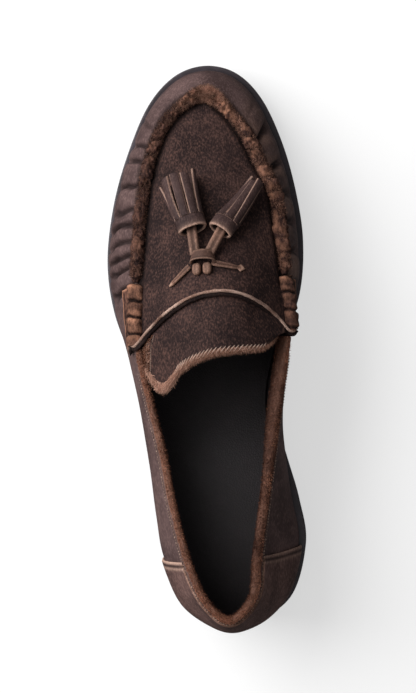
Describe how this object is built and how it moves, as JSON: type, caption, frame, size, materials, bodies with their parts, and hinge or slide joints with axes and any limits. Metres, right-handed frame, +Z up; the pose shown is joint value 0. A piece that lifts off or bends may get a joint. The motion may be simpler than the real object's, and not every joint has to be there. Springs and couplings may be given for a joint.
{
  "type": "tassel loafer",
  "caption": "Left tassel loafer in brushed leather with an apron toe, raised puckered seam, tongue, tied tassels, heel counter and low rubber heel.",
  "frame": {"origin": "on the floor, below the middle of the shoe's own box", "axes": "+Y from heel to toe, +Z up, +X to the inner side of the left foot"},
  "size_m": [0.0938, 0.266, 0.0813],
  "materials": {
    "sole_rubber": "satin black rubber",
    "heel_stack": "black, edge-dressed",
    "sock_leather": "smooth black lining",
    "brushed_leather": "dark brown, brushed and napped",
    "seam_leather": "rubbed brown, fuzzy",
    "raw_edge": "light brown raw edge",
    "tassel_leather": "smooth brown with light cut edges"
  },
  "bodies": {
    "root": {"outsole": "sole_rubber", "midsole": "sole_rubber", "heel_block": "heel_stack", "heel_top_lift": "sole_rubber", "insole": "sock_leather", "upper": "brushed_leather", "apron_seam": "seam_leather", "wing_lateral": "seam_leather", "wing_medial": "seam_leather", "heel_counter": "brushed_leather", "collar_trim": "raw_edge", "tongue": "brushed_leather", "tassel_lateral": "tassel_leather", "tassel_medial": "tassel_leather", "tie_wrap": "tassel_leather", "tie_end_lateral": "tassel_leather", "tie_end_medial": "tassel_leather", "tie_loop_lateral": "tassel_leather", "tie_loop_medial": "tassel_leather"}
  },
  "joints": []
}
